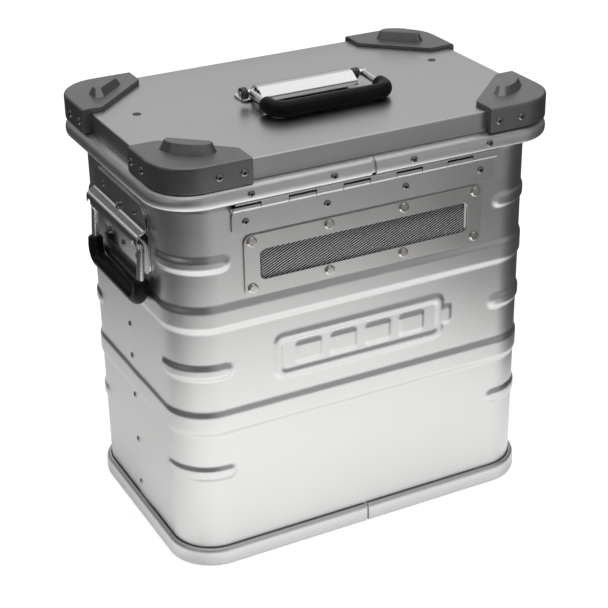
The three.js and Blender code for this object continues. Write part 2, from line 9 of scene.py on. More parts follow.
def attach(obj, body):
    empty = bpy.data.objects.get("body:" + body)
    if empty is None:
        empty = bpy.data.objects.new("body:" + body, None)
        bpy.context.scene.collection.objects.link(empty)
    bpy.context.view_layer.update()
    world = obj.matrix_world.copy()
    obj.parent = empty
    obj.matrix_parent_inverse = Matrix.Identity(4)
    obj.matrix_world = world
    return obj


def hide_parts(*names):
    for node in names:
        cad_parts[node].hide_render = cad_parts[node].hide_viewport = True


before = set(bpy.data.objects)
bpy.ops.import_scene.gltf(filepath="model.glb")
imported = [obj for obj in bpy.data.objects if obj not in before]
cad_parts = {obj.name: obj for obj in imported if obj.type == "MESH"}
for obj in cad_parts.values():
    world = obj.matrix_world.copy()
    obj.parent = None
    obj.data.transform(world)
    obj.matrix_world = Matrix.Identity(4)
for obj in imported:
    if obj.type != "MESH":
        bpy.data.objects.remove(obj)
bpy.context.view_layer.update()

# Pieces are drawn in millimetres about the middle of the case body, as the CAD
# is, then move by SHIFT so that the origin is under the middle of the object.
MM = 0.001
SHIFT = np.array([0.0, -7.5, 0.0])
BODY = (184.9, 117.0, 40.0)  # half length, half width, corner radius
LID = (200.0, 132.6, 44.0, 0.3)  # the same, and radius lost per mm of inset
TURN = 2 * pi


# ---- materials ----------------------------------------------------------
class Nodes:
    """A material's node tree, with short ways to add and link nodes."""

    def __init__(self, name):
        self.mat = bpy.data.materials.new(name)
        self.mat.use_nodes = True
        self.tree = self.mat.node_tree
        self.bsdf = next(n for n in self.tree.nodes if n.type == "BSDF_PRINCIPLED")
        self.place = self.tree.nodes.new("ShaderNodeTexCoord").outputs["Object"]

    def feed(self, node, values):
        """Links the sockets among the values and sets the rest."""
        for k, v in values.items():
            if isinstance(v, bpy.types.NodeSocket):
                self.tree.links.new(v, node.inputs[k])
            else:
                node.inputs[k].default_value = v
        return node

    def add(self, kind, inputs=(), **props):
        node = self.tree.nodes.new("ShaderNode" + kind)
        for k, v in props.items():
            setattr(node, k, v)
        return self.feed(node, dict(inputs))

    def noise(self, scale, stretch=(1, 1, 1), detail=3.0, rough=0.55, offset=0.0):
        where = self.add("Mapping", {"Vector": self.place, "Scale": stretch,
                                     "Location": (offset, offset, offset)}).outputs[0]
        return self.add("TexNoise", {"Vector": where, "Scale": scale, "Detail": detail,
                                     "Roughness": rough}).outputs["Fac"]

    def ramp(self, fac, low, high, a=0.0, b=1.0):
        return self.add("MapRange", {"Value": fac, "From Min": low, "From Max": high,
                                     "To Min": a, "To Max": b}).outputs["Result"]

    def math(self, op, a, b=0.0):
        return self.add("Math", {0: a, 1: b}, operation=op).outputs[0]

    def mix(self, fac, a, b):
        return self.add("Mix", {"Factor": fac, 6: a, 7: b}, data_type="RGBA").outputs[2]

    def tint(self, fac, dark, light):
        return self.mix(fac, (*dark, 1), (*light, 1))

    def set(self, **values):
        self.feed(self.bsdf, {k.replace("_", " "): v for k, v in values.items()})
        return self

    def bump(self, *layers):
        """Layers are (height socket, strength, distance in metres)."""
        normal = None
        for height, strength, distance in layers:
            inputs = {"Height": height, "Strength": strength, "Distance": distance}
            if normal:
                inputs["Normal"] = normal
            normal = self.add("Bump", inputs).outputs["Normal"]
        self.tree.links.new(normal, self.bsdf.inputs["Normal"])
        return self


def sheet_metal(name, color, rough, seed, grain=(1, 1, 1), speck=0.0, metallic=1.0,
                spread=0.05, calm=1.0, flake_scale=2600):
    """Rolled or anodised sheet: cloudy tone, fine grain, faint rolling lines."""
    n = Nodes(name)
    cloud = n.noise(9, offset=seed, detail=4)
    fine = n.noise(900, grain, detail=2, offset=seed)
    flake = n.noise(flake_scale, detail=1, offset=seed + 3)
    mixed = n.math("ADD", n.math("MULTIPLY", cloud, 0.6), n.math("MULTIPLY", flake, 0.4))
    low = [c * (1 - spread - speck) for c in color]
    high = [min(1, c * (1 + spread + speck)) for c in color]
    tone = n.tint(n.ramp(mixed, 0.34, 0.66), low, high)
    dull = n.math("ADD", n.ramp(cloud, 0.3, 0.7, rough - 0.035, rough + 0.035),
                  n.ramp(fine, 0.3, 0.7, -0.03, 0.03))
    n.set(Base_Color=tone, Roughness=dull, Metallic=metallic)
    n.bump((fine, 0.10 * calm, 0.00006), (flake, (0.10 + speck) * calm, 0.00004))
    return n


def bright_extrusion(name, color, rough, seed):
    """Mill-finish extrusion: lengthwise die lines, small knocks and dark specks."""
    n = Nodes(name)
    lines = n.noise(60, (1.5, 1.5, 24), detail=4, offset=seed)
    knocks = n.noise(55, detail=6, rough=0.75, offset=seed + 5)
    fleck = n.ramp(n.noise(330, (1, 1, 1.6), detail=2, offset=seed + 9), 0.70, 0.78)
    scuff = n.ramp(n.noise(70, (1, 5, 2), detail=5, rough=0.8, offset=seed + 2), 0.63, 0.75)
    base = n.tint(n.ramp(lines, 0.35, 0.65), [c * 0.94 for c in color], color)
    mixed = n.mix(n.math("MULTIPLY", fleck, 0.6), base, (0.20, 0.19, 0.18, 1))
    n.set(Base_Color=mixed, Metallic=1.0,
          Roughness=n.math("ADD", n.ramp(lines, 0.3, 0.7, rough - 0.04, rough + 0.05),
                           n.math("MULTIPLY", scuff, 0.16)))
    n.bump((lines, 0.10, 0.0001), (knocks, 0.05, 0.0002), (fleck, 0.3, 0.0001))
    return n


def moulded(name, color, rough, seed, grain=700, depth=0.00008, sheen=0.0):
    """Rubber, plastic or board with a moulded grain."""
    n = Nodes(name)
    skin = n.noise(grain, detail=3, offset=seed)
    worn = n.noise(24, detail=5, rough=0.7, offset=seed + 4)
    tone = n.tint(n.ramp(worn, 0.35, 0.7), [c * 0.82 for c in color],
                  [min(1, c * 1.25) for c in color])
    n.set(Base_Color=tone, Roughness=n.ramp(worn, 0.3, 0.7, rough - 0.06, rough + 0.08),
          Metallic=0.0, Sheen_Weight=sheen)
    n.bump((skin, 0.25, depth))
    return n


def gap_shaded(name, color, low, high):
    """Hinge steel with painted shade: it turns dark between two heights in metres,
    where the knuckles meet the rim above them and the gap lies in shade."""
    n = sheet_metal(name, color, 0.34, 27.0, (5, 1, 1))
    height = n.add("SeparateXYZ", {"Vector": n.place}).outputs[2]
    n.set(Base_Color=n.tint(n.ramp(height, low, high), color, (0.012, 0.012, 0.012)))
    return n


SATIN = sheet_metal("satin_sheet", (0.52, 0.517, 0.512), 0.36, 1.0).mat
LID_SATIN = sheet_metal("lid_sheet", (0.48, 0.479, 0.477), 0.34, 4.0).mat
PLATE = sheet_metal("handle_plate_sheet", (0.64, 0.64, 0.635), 0.17, 7.0, (1, 1, 6)).mat
FRAME = sheet_metal("vent_frame_sheet", (0.52, 0.515, 0.505), 0.34, 11.0, (4, 1, 1)).mat
CAST = sheet_metal("cap_metallic_paint", (0.20, 0.20, 0.202), 0.42, 14.0, speck=0.20,
                   metallic=0.85, flake_scale=1100).mat
RIM = bright_extrusion("bright_rim", (0.62, 0.624, 0.628), 0.44, 2.0).mat
STEEL = sheet_metal("plated_bar", (0.72, 0.72, 0.72), 0.25, 21.0, spread=0.03, calm=0.2).mat
SPRING = bright_extrusion("spring_wire", (0.16, 0.16, 0.165), 0.34, 23.0).mat
DULL = sheet_metal("screw_dull", (0.10, 0.098, 0.095), 0.5, 24.0).mat
HINGE_TONE = (0.52, 0.52, 0.515)
HINGE = sheet_metal("hinge_steel", HINGE_TONE, 0.34, 25.0, (5, 1, 1)).mat
# the body's knuckles carry a band of painted shade at their tops
KNUCKLE = gap_shaded("hinge_knuckles_shaded", HINGE_TONE, 0.3594, 0.3602).mat
DOME = sheet_metal("rivet_bright", (0.56, 0.54, 0.52), 0.24, 31.0, calm=0.15).mat
BLIND = sheet_metal("rivet_blind", (0.25, 0.245, 0.235), 0.28, 33.0).mat
# painted shade: near black for the blind rivets' hollows
HOLLOW_SHADE = moulded("rivet_hollow_painted_shade", (0.02, 0.02, 0.02), 0.6, 35.0).mat
RUBBER = moulded("grip_rubber", (0.010, 0.010, 0.011), 0.34, 41.0, 900, 0.00005).set(
    Specular_IOR_Level=0.08).mat
SEAL = moulded("seal_sponge", (0.02, 0.02, 0.02), 0.8, 43.0, 500, 0.0002).mat
BOARD = moulded("lining_board", (0.62, 0.60, 0.55), 0.85, 45.0, 260, 0.0004, 0.2).mat
MAT = moulded("floor_mat", (0.09, 0.095, 0.10), 0.75, 47.0, 320, 0.0005).mat
WIRE = sheet_metal("screen_wire", (0.52, 0.52, 0.53), 0.34, 51.0).mat
# painted shadow: near black for what lies in shade behind the vent screen
DARK = moulded("vent_shadow", (0.006, 0.006, 0.006), 0.9, 53.0).set(Specular_IOR_Level=0.05).mat


# ---- mesh helpers -------------------------------------------------------
WELD_M, SLIVER_M = 2e-6, 1e-6  # points closer than these are joined
BEVEL_ANGLE, BEVEL_STEPS = 40, 3


def show(name, data):
    obj = bpy.data.objects.new(name, data)
    bpy.context.scene.collection.objects.link(obj)
    return obj


def piece(name, parts, mats, body, nodes=(), sharp=38, bevel=None, faces_mat=None,
          crisp=False, weld=False):
    """One object from (points in mm, faces) parts, riding on a body. Edges over
    `sharp` degrees stay sharp, and `faces_mat` gives each part its material."""
    points, faces, index = [], [], []
    for k, (p, f) in enumerate(parts):
        start = sum(len(q) for q in points)
        points.append(np.asarray(p, float))
        faces += [[v + start for v in face] for face in f]
        index += [faces_mat[k] if faces_mat else 0] * len(f)
    mesh = bpy.data.meshes.new(name)
    mesh.from_pydata(((np.concatenate(points) + SHIFT) * MM).tolist(), [], faces)
    mesh.validate()
    for m in mats if isinstance(mats, (list, tuple)) else [mats]:
        mesh.materials.append(m)
    if faces_mat:
        mesh.polygons.foreach_set("material_index", index)
    if weld:
        work = bmesh.new()
        work.from_mesh(mesh)
        bmesh.ops.remove_doubles(work, verts=work.verts, dist=WELD_M)
        bmesh.ops.dissolve_degenerate(work, edges=work.edges, dist=SLIVER_M)
        work.to_mesh(mesh)
        work.free()
    mesh.polygons.foreach_set("use_smooth", [True] * len(mesh.polygons))
    mesh.set_sharp_from_angle(angle=radians(sharp))
    mesh.update()
    obj = show(name, mesh)
    if bevel:
        mod = obj.modifiers.new("edge", "BEVEL")
        mod.width, mod.segments, mod.limit_method = bevel * MM, BEVEL_STEPS, "ANGLE"
        mod.angle_limit, mod.harden_normals = radians(BEVEL_ANGLE), True
    if crisp:
        flat = obj.modifiers.new("flats", "WEIGHTED_NORMAL")
        flat.keep_sharp = True
    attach(obj, body)
    if nodes:
        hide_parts(*([nodes] if isinstance(nodes, str) else nodes))
    return obj


def fix(points, faces):
    """Turns a closed part the right way out."""
    p = np.asarray(points, float)
    volume = 0.0
    for f in faces:
        for i in range(1, len(f) - 1):
            volume += np.dot(p[f[0]], np.cross(p[f[i]], p[f[i + 1]]))
    return p, ([f[::-1] for f in faces] if volume < 0 else faces)


def quads(rows, n, open_row=False):
    """Faces between rows of n points each, numbered from the first row."""
    return [[i * n + j, i * n + (j + 1) % n, (i + 1) * n + (j + 1) % n, (i + 1) * n + j]
            for i in range(rows - 1) for j in range(n - 1 if open_row else n)]


def loft(loops, closed=False):
    """A solid through loops of equal count: capped, or closed into a ring."""
    loops = [np.asarray(loop, float) for loop in loops]
    n, rows = len(loops[0]), len(loops)
    faces, last = quads(rows, n), (rows - 1) * n
    if closed:
        faces += [[last + j, last + (j + 1) % n, (j + 1) % n, j] for j in range(n)]
    else:
        faces += [list(range(n))[::-1], list(range(last, rows * n))]
    return fix(np.concatenate(loops), faces)


def rloop(hx, hy, r, n=20, cx=0.0, cy=0.0):
    """A rounded rectangle from its half sizes, corner radius and centre."""
    out = []
    for q, (sx, sy) in enumerate([(1, 1), (-1, 1), (-1, -1), (1, -1)]):
        for i in range(n + 1):
            a = (q + i / n) * pi / 2
            out.append((cx + sx * (hx - r) + r * cos(a), cy + sy * (hy - r) + r * sin(a)))
    return np.array(out)


def at(loop, axis, h):
    """A flat loop placed across an axis at station h."""
    return np.insert(np.asarray(loop, float), "xyz".index(axis), h, 1)


def body_loop(out, z, n=20):
    return at(rloop(BODY[0] + out, BODY[1] + out, BODY[2] + out, n), "z", z)


def lid_loop(inset, z, n=20):
    return at(rloop(LID[0] - inset, LID[1] - inset, LID[2] - LID[3] * inset, n), "z", z)


def rect(a0, a1, b0, b1):
    return [(a0, b0), (a1, b0), (a1, b1), (a0, b1)]


def prism(outline, axis, lo, hi):
    return loft([at(outline, axis, lo), at(outline, axis, hi)])


def rounded(profile, times=2, closed=True):
    """Cuts the corners of a profile so that it reads as a rolled section."""
    keep = 0.25  # share of a side that each cut takes
    p = [np.asarray(q, float) for q in profile]
    for _ in range(times):
        out = []
        count = len(p) if closed else len(p) - 1
        for i in range(count):
            a, b = p[i], p[(i + 1) % len(p)]
            out += [a + (b - a) * keep, b - (b - a) * keep]
        p = out if closed else [p[0]] + out + [p[-1]]
    return p


def ring(maker, profile, times=2, n=20):
    """A section run round a loop: `maker` gives the loop at (offset, height)."""
    return loft([maker(a, z, n) for a, z in rounded(profile, times)], True)


def lathed(profile, axis, centre, seg, direction):
    """Circles about an axis from (station, radius) pairs."""
    a = np.arange(seg) / seg * TURN
    return [at(np.stack([r * np.cos(a), r * np.sin(a)], 1), axis, direction * s)
            + np.asarray(centre, float) for s, r in profile]


def turned(profile, axis, centre, seg=28, direction=1.0):
    return loft(lathed(profile, axis, centre, seg, direction))


def fillet(corners, closed=False, n=6):
    """A flat path whose (x, y, radius) corners are rounded."""
    path = []
    m = len(corners)
    for i, (x, y, r) in enumerate(corners):
        if not r or (not closed and i in (0, m - 1)):
            path.append((x, y))
            continue
        c = np.array([x, y], float)
        p = np.array(corners[i - 1][:2], float) - c
        q = np.array(corners[(i + 1) % m][:2], float) - c
        p, q = p / np.linalg.norm(p), q / np.linalg.norm(q)
        half = acos(np.clip(p @ q, -1, 1)) / 2
        mid = (p + q) / np.linalg.norm(p + q) * r / sin(half)
        a, b = p * r / tan(half) - mid, q * r / tan(half) - mid
        turn = atan2(a[0] * b[1] - a[1] * b[0], a @ b)
        for k in range(n + 1):
            t = turn * k / n
            path.append(tuple(c + mid + (a[0] * cos(t) - a[1] * sin(t),
                                         a[0] * sin(t) + a[1] * cos(t))))
    return path


def bar(path, place, radius, closed=False, seg=20, inner=0.0):
    """Round bar, or a sleeve with an inner radius, along a flat path."""
    m = len(path)
    path = np.asarray(path, float)

    def row(i, r):
        if closed:
            a, b = path[i - 1], path[(i + 1) % m]
        else:
            a, b = path[max(i - 1, 0)], path[min(i + 1, m - 1)]
        t = (b - a) / np.linalg.norm(b - a)
        out = []
        for j in range(seg):
            w = j / seg * TURN
            u = path[i] + np.array([-t[1], t[0]]) * r * cos(w)
            out.append(place(u[0], u[1], r * sin(w)))
        return out

    size = radius if callable(radius) else (lambda i: radius)
    rows = [row(i, size(i)) for i in range(m)]
    if inner:
        return loft(rows + [row(i, inner) for i in reversed(range(m))], True)
    return loft(rows, closed)


def strip(line, t):
    """The outline of a strip of thickness t along a line."""
    p = np.asarray(line, float)
    d = np.gradient(p, axis=0)
    d /= np.linalg.norm(d, axis=1)[:, None]
    n = np.stack([-d[:, 1], d[:, 0]], 1) * t / 2
    return np.concatenate([p + n, (p - n)[::-1]])


def smooth(t):
    t = np.clip(t, 0, 1)
    return t * t * (3 - 2 * t)


# Blind rivets: a low dome with a hollow in the middle, whose faces take a near-black material as
# painted shade. Gathered per body.
blind = {}
RIVET_SEG = 20


def rivet(body, centre, axis, direction, r=3.4):
    head = [(0.0, r), (0.3, r), (0.7, r * 0.93), (1.05, r * 0.79), (1.25, r * 0.62),
            (1.3, r * 0.5), (1.24, r * 0.44), (1.0, r * 0.40)]
    pit = [(1.0, r * 0.40), (0.3, r * 0.36), (0.3, r * 0.02)]
    parts, kinds = blind.setdefault(body, ([], []))
    for profile, hollow in ((head, 0), (pit, 1)):
        loops = lathed(profile, axis, centre, RIVET_SEG, direction)
        last = (len(loops) - 1) * RIVET_SEG
        faces = quads(len(loops), RIVET_SEG)
        if hollow:
            faces.append(list(range(last, last + RIVET_SEG)))
        else:
            faces.append(list(range(RIVET_SEG))[::-1])
        points = np.concatenate(loops)
        # the first face looks away from the rivet's centre
        a, b, c = (points[faces[0][i]] for i in (0, 1, 2))
        out = np.cross(b - a, c - a) @ (a - np.asarray(centre, float))
        parts.append((points, [f[::-1] for f in faces] if out < 0 else faces))
        kinds.append(hollow)


# ---- case body ----------------------------------------------------------
# (height, all the way round): the others run round the corners only
BEADS = [(98.5, False), (151.0, True), (203.5, False), (256.0, True), (308.5, False)]
BEAD_OUT = 1.8
BEAD_END_X, BEAD_END_Y = 142.4, 80.0  # where the corner beads stop
WINDOW_X, WINDOW_Z = 106.5, (284.5, 315.5)  # the hole behind the vent screen
EMBLEM_Z, EMBLEM_OUT = 203.5, 1.15


def cells(marks):
    """Stations from (from, to, step) runs."""
    out = []
    for a, b, step in marks:
        k = max(1, round((b - a) / step))
        out += list(np.linspace(a, b, k + 1)[:-1])
    return out + [marks[-1][1]]


def emblem(x, z):
    """Height of the plain battery outline pressed into the hinge side, in mm."""
    def slab(cx, hw, hh, r):
        dx, dz = np.abs(x - cx) - hw + r, np.abs(z - EMBLEM_Z) - hh + r
        q = np.maximum(dx, 0) ** 2 + np.maximum(dz, 0) ** 2
        inside = np.minimum(np.maximum(dx, dz), 0)
        return smooth((0.9 - (np.sqrt(q) + inside - r)) / 1.8)
    h = slab(-5, 88, 22, 8) - slab(-5, 81.5, 15.5, 4)  # outline of the cell
    h = np.maximum(h, slab(87, 4.5, 9, 3))  # its terminal
    for i in range(4):  # its charge marks
        h = np.maximum(h, slab(-59 + 36 * i, 12.5, 9.5, 2.5))
    return EMBLEM_OUT * h


def body_shell():
    """The walls as one grid: stations round the case by rows up it, moved out by
    the beads, the emblem, the seam and a slight waviness."""
    hx, hy, r = BODY
    sx, sy = hx - r, hy - r
    front = cells([(-sx, -126, 2.4), (-126, -104, 5.5), (-104, 104, 1.6), (104, 126, 5.5),
                   (126, sx, 2.4)])
    back = cells([(-sx, -124, 2.4), (-124, 124, 15.5), (124, sx, 2.4)])
    side = cells([(-sy, -66, 2.4), (-66, 7, 8), (7, 11, 0.5), (11, 66, 9), (66, sy, 2.4)])
    st = []  # x, y, normal x, normal y, face
    arc = [((i + 1) / 22 * pi / 2) for i in range(21)]
    turn = [(cos(a), sin(a)) for a in arc]
    st += [(hx, y, 1, 0, "right") for y in side]
    st += [(sx + r * c, sy + r * s, c, s, "arc") for c, s in turn]
    st += [(-x, hy, 0, 1, "back") for x in back]
    st += [(-sx - r * s, sy + r * c, -s, c, "arc") for c, s in turn]
    st += [(-hx, -y, -1, 0, "left") for y in side]
    st += [(-sx - r * c, -sy - r * s, -c, -s, "arc") for c, s in turn]
    st += [(x, -hy, 0, -1, "front") for x in front]
    st += [(sx + r * s, -sy - r * c, s, -c, "arc") for c, s in turn]
    x, y, nx, ny = (np.array([s[i] for s in st], float) for i in range(4))
    face = np.array([s[4] for s in st])
    marks = [(1.9, 84, 12)]
    for zc, full in BEADS:
        half = 15 if full else 9.6
        marks += [(marks[-1][1], zc - half, 6), (zc - half, zc + half, 1.6)]
    marks += [(318.1, 364.5, 8)]
    # the emblem and the vent need rows of their own
    fine = np.round(np.arange(EMBLEM_Z - 24, 228, 1.6), 3)
    z = sorted(set(np.round(cells(marks), 3)) | set(fine) | set(WINDOW_Z))
    z = [v for i, v in enumerate(z) if i == 0 or v - z[i - 1] > 0.35 or v in WINDOW_Z]
    z = np.array(z)
    # distance past the end of a corner bead, along the wall
    long, short = (face == "front") | (face == "back"), (face == "left") | (face == "right")
    gap = np.where(long, np.maximum(0, BEAD_END_X - np.abs(x)), 0.0)
    gap = np.where(short, np.maximum(0, BEAD_END_Y - np.abs(y)), gap)
    proud = np.zeros((len(z), len(st)))
    for zc, full in BEADS:
        dz = np.abs(z - zc)[:, None]
        if full:
            proud += BEAD_OUT * smooth((13.4 - dz) / 6.2)
        else:
            q = np.sqrt(dz ** 2 + gap[None, :] ** 2)
            proud += BEAD_OUT * smooth((8.2 - q) / 4.8)
    proud += np.where((face == "front")[None, :], emblem(x[None, :], z[:, None]), 0)
    # slow waviness in the flat sheet, and the overlap seam on each side
    proud += 0.06 * np.sin(x / 31 + z[:, None] / 47) * np.cos(y / 27 - z[:, None] / 39) - 0.03
    lap = 0.45 * smooth((9.5 - y) / 1.0) * smooth((y + 40) / 40)
    proud += np.where(short, lap, 0.0)[None, :]
    px, py = x + nx * proud, y + ny * proud
    points = np.stack([px, py, np.broadcast_to(z[:, None], px.shape)], 2)
    n, rows = len(st), len(z)
    faces = []
    for i in range(rows - 1):
        hole = WINDOW_Z[0] - 0.1 < z[i] and z[i + 1] < WINDOW_Z[1] + 0.1
        for j in range(n):
            k = (j + 1) % n
            if hole and face[j] == face[k] == "front" and abs(x[j] + x[k]) < 2 * WINDOW_X:
                continue
            faces.append([i * n + j, i * n + k, (i + 1) * n + k, (i + 1) * n + j])
    return points.reshape(-1, 3), faces


shell = piece("body_sheet", [body_shell()], SATIN, "case", "body_shell", sharp=60)
skin = shell.modifiers.new("sheet", "SOLIDIFY")
skin.thickness, skin.offset = 1.2 * MM, -1

BASE_RIM = [(-14, 0), (1.5, 0), (4.3, 0.3), (5.3, 2), (5.5, 5), (5.5, 13), (5.0, 15.6),
            (3.9, 17.5), (2.0, 18.4), (0.3, 18.4), (0.3, 1.6), (-14, 1.6)]


def jointed(maker, deep, mid, width, depth):
    """A loop maker with a butt joint: a narrow recess in the hinge side at x = mid,
    only where the section lies further out than `deep`."""
    def make(a, z, n):
        loop = maker(a, z, n)
        k = next(i for i in range(len(loop))
                 if loop[i][1] < 0 and loop[i - 1][0] < -60 and loop[i][0] > 60)
        y, sink = loop[k][1], depth if a > deep else 0.0
        cut = [(mid + v, y + (sink if abs(v) < width else 0.0), z)
               for v in (-width - 0.15, -width + 0.15, width - 0.15, width + 0.15)]
        return np.concatenate([loop[:k], np.array(cut), loop[k:]])
    return make


piece("base_rim_fine", [ring(jointed(body_loop, 0.5, 0.0, 1.1, 2.2), BASE_RIM)], RIM, "case",
      "base_rim")
piece("floor_panel_fine", [loft([body_loop(-1.5, 1.9), body_loop(-1.5, 3.1)])], SATIN, "case",
      "floor_panel")
piece("floor_mat_fine", [loft([body_loop(-2.2, 3.4), body_loop(-2.2, 8.8), body_loop(-2.9, 9.4)])],
      MAT, "case", "floor_liner")
piece("body_collar_fine", [ring(body_loop, rect(-8, -1.5, 356, 365.5), 1)], RIM, "case",
      "body_collar")


def window(outer, inner, lo, hi, axis="y"):
    """A plate with a window, from loops of equal count."""
    return loft([at(outer, axis, lo), at(outer, axis, hi), at(inner, axis, hi),
                 at(inner, axis, lo)], True)


def lining():
    """Wall lining, with a window behind the vent."""
    rows = [9.7, 100, 200, 282.9, 317.1, 340, 355.5]
    edge_x, window_row = 108.5, 3

    def with_edges(loop):
        """Adds stations at the window's edges, on the hinge side."""
        k = next(i for i in range(len(loop))
                 if loop[i][1] < 0 and loop[i - 1][0] < -100 < loop[i][0])
        y = loop[k][1]
        return np.concatenate([loop[:k], [(-edge_x, y), (edge_x, y)], loop[k:]]), k

    outer, k = with_edges(rloop(180.3, 112.4, 35.4))
    inner, _ = with_edges(rloop(175.3, 107.4, 30.4))
    n = len(outer)
    points, faces = [], []
    for loop in (outer, inner):
        points += [at(loop, "z", z) for z in rows]
    half = len(rows) * n
    for i in range(len(rows) - 1):
        for j in range(n):
            m = (j + 1) % n
            a, b = i * n, (i + 1) * n
            if i == window_row and j == k:
                for s, e in ((a + j, b + j), (b + m, a + m)):
                    faces.append([s, e, e + half, s + half])
                faces.append([a + j, a + j + half, a + m + half, a + m])
                faces.append([b + j, b + m, b + m + half, b + j + half])
                continue
            faces.append([a + j, a + m, b + m, b + j])
            faces.append([half + a + j, half + b + j, half + b + m, half + a + m])
    top = (len(rows) - 1) * n
    for j in range(n):
        m = (j + 1) % n
        faces.append([j, half + j, half + m, m])
        faces.append([top + j, top + m, half + top + m, half + top + j])
    return np.concatenate(points), faces


piece("wall_lining", [lining()], BOARD, "case", "liner_wall", sharp=30)

# ---- vent ---------------------------------------------------------------
FRONT = -BODY[1]
VENT_Z, FRAME_Z, FRAME_T = 300, 300.25, 1.9
piece("vent_frame_fine",
      [window(rloop(121, 29.25, 7, 12, 0, FRAME_Z), rloop(106, 14.5, 5.5, 12, 0, VENT_Z),
              FRONT - FRAME_T, FRONT - 0.05)],
      FRAME, "case", "vent_frame", bevel=0.35)
piece("vent_backing_fine",
      [window(rloop(118, 25, 7, 12, 0, FRAME_Z), rloop(105, 13.5, 4, 12, 0, VENT_Z), -114.4, -113.0)],
      SATIN, "case", "vent_backing")


def weave():
    """Slanting wires with a finer crossing set behind them, on a dark sheet; the crossing wires and
    the sheet are painted shadow, black where the inside of the case lies in shade.
    """
    parts, kinds = [], []
    hw, hh, thick, step = 108.0, 16.8, 0.42, 1.8
    ring6 = [(cos(w), sin(w)) for w in np.arange(6) / 6 * TURN]
    for slope, pitch, wide, y0, wave in ((25, 2.2, 0.48, -115.5, 0.05),
                                         (115, 6.6, 0.13, -115.05, 0.0)):
        u = np.array([cos(radians(slope)), sin(radians(slope))])
        across = np.array([-u[1], u[0]])
        reach = abs(across[0]) * hw + abs(across[1]) * hh
        k = -reach
        while k < reach:
            lo, hi = -1e3, 1e3  # clip the wire's centre line to the window
            for axis, lim in ((0, hw), (1, hh)):
                off = k * across[axis]
                a, b = sorted(((-lim - off) / u[axis], (lim - off) / u[axis]))
                lo, hi = max(lo, a), min(hi, b)
            if hi - lo > 3:
                m = max(2, int((hi - lo) / step) + 1) if wave else 2
                t = np.linspace(lo, hi, m)
                c = k * across[None, :] + t[:, None] * u[None, :]
                y = y0 + wave * np.cos(np.arange(m) * pi)
                parts.append(loft([[(c[i, 0] + across[0] * wide * a, y[i] + thick * b,
                                     VENT_Z + c[i, 1] + across[1] * wide * a)
                                    for a, b in ring6] for i in range(m)]))
                kinds.append(0 if wave else 1)
            k += pitch
    # a black sheet of painted shadow behind the screen
    parts.append(prism(rloop(115, 22, 7, 6, 0, VENT_Z), "y", -114.75, -114.7))
    kinds.append(1)
    return parts, kinds


wires, kinds = weave()
piece("vent_screen", wires, [WIRE, DARK], "case", "vent_mesh", sharp=50,
      faces_mat=kinds)
DOME_HEAD = [(0, 4.75), (0.9, 4.75), (1.15, 4.6), (1.95, 3.85), (2.08, 3.6), (2.1, 3.4), (2.1, 0.02)]
DOMES = [(x, FRONT - FRAME_T, z) for z in (279, 323.5) for x in (-113.8, -37.9, 37.9, 113.8)]
for count, centre in enumerate(DOMES, 1):
    piece(f"vent_rivet_head_{count}", [turned(DOME_HEAD, "y", centre, 32, -1.0)], DOME, "case",
          f"vent_rivet_{count}", sharp=60, crisp=True)

# ---- hinge --------------------------------------------------------------
HY, HZ = -121.2, 358.0  # the pin's centre line
X0, PITCH, COUNT, SLIT = -132.7, 26.61, 10, 0.2
X1 = X0 + COUNT * PITCH
BODY_KNUCKLES, LID_KNUCKLES = range(0, COUNT, 2), range(1, COUNT, 2)


def reach_of(i):
    """Where knuckle i starts and ends."""
    return X0 + i * PITCH + SLIT, X0 + (i + 1) * PITCH - SLIT


def knuckle(i):
    """A rolled knuckle with its bore."""
    (a, b), seg = reach_of(i), 28
    t = np.arange(seg) / seg * TURN
    circle = lambda r: np.stack([HY + r * np.cos(t), HZ + r * np.sin(t)], 1)
    section = [(1.6, a), (3.2, a), (3.5, a + 0.3), (3.5, b - 0.3), (3.2, b), (1.6, b)]
    return loft([at(circle(r), "x", x) for r, x in section], True)


leaf = [prism(rloop(132, 11, 5, 8, 0.3, 343), "y", -118.9, -117.05)]
leaf += [prism(rect(*reach_of(i), 353.7, 357), "y", -118.8, -117.75) for i in BODY_KNUCKLES]
piece("hinge_body_leaf", leaf, HINGE, "case", "hinge_leaf_body", bevel=0.25)
piece("hinge_body_knuckles", [knuckle(i) for i in BODY_KNUCKLES], KNUCKLE, "case")
lid_leaf = [prism(rect(-130.3, -117.3, 364.7, 366.3), "x", X0, X1)]
lid_leaf += [prism(rect(-124.65, -123.2, 357.9, 364.9), "x", *reach_of(i)) for i in LID_KNUCKLES]
piece("hinge_lid_leaf", lid_leaf + [knuckle(i) for i in LID_KNUCKLES], HINGE, "lid",
      "hinge_leaf_lid", bevel=0.2)
PIN = [(X0 - 0.6, 1.2), (X0 - 0.3, 1.45), (X1 + 0.3, 1.45), (X1 + 0.6, 1.2)]
piece("hinge_pin_fine", [turned(PIN, "x", (0, HY, HZ), 20)], STEEL, "case",
      "hinge_pin")
for x in (-118.7, -39.7, 39.7, 118.7):
    rivet("case", (x, -118.9, 343.6), "y", -1)
    rivet("lid", (x, -132.55, 374), "y", -1)
    if abs(x) > 50:
        rivet("lid", (x, 132.55, 374), "y", 1)

# ---- lid ----------------------------------------------------------------
LID_RIM = [(16.8, 366.6), (5, 366.6), (2.2, 366.7), (0.7, 367.9), (0.1, 370.4), (0.0, 373.4),
           (0.5, 376.2), (1.9, 378.6), (4.0, 380.4), (6.6, 381.5), (9.6, 382.05), (16.8, 382.05)]
# the joint is cut by an offset that grows outwards, so the inset changes its sign
lid_joint = jointed(lambda a, z, n: lid_loop(-a, z, n), -9.0, 0.0, 2.2, 2.6)
piece("lid_rim_fine", [ring(lid_joint, [(-a, z) for a, z in LID_RIM])], RIM, "lid",
      "lid_rim")
LID_PAN = [(10.9, 382.3), (9.7, 382.3), (9.7, 398.9), (9.76, 399.8), (10.0, 400.45), (10.5, 400.88),
           (11.5, 401.0)]


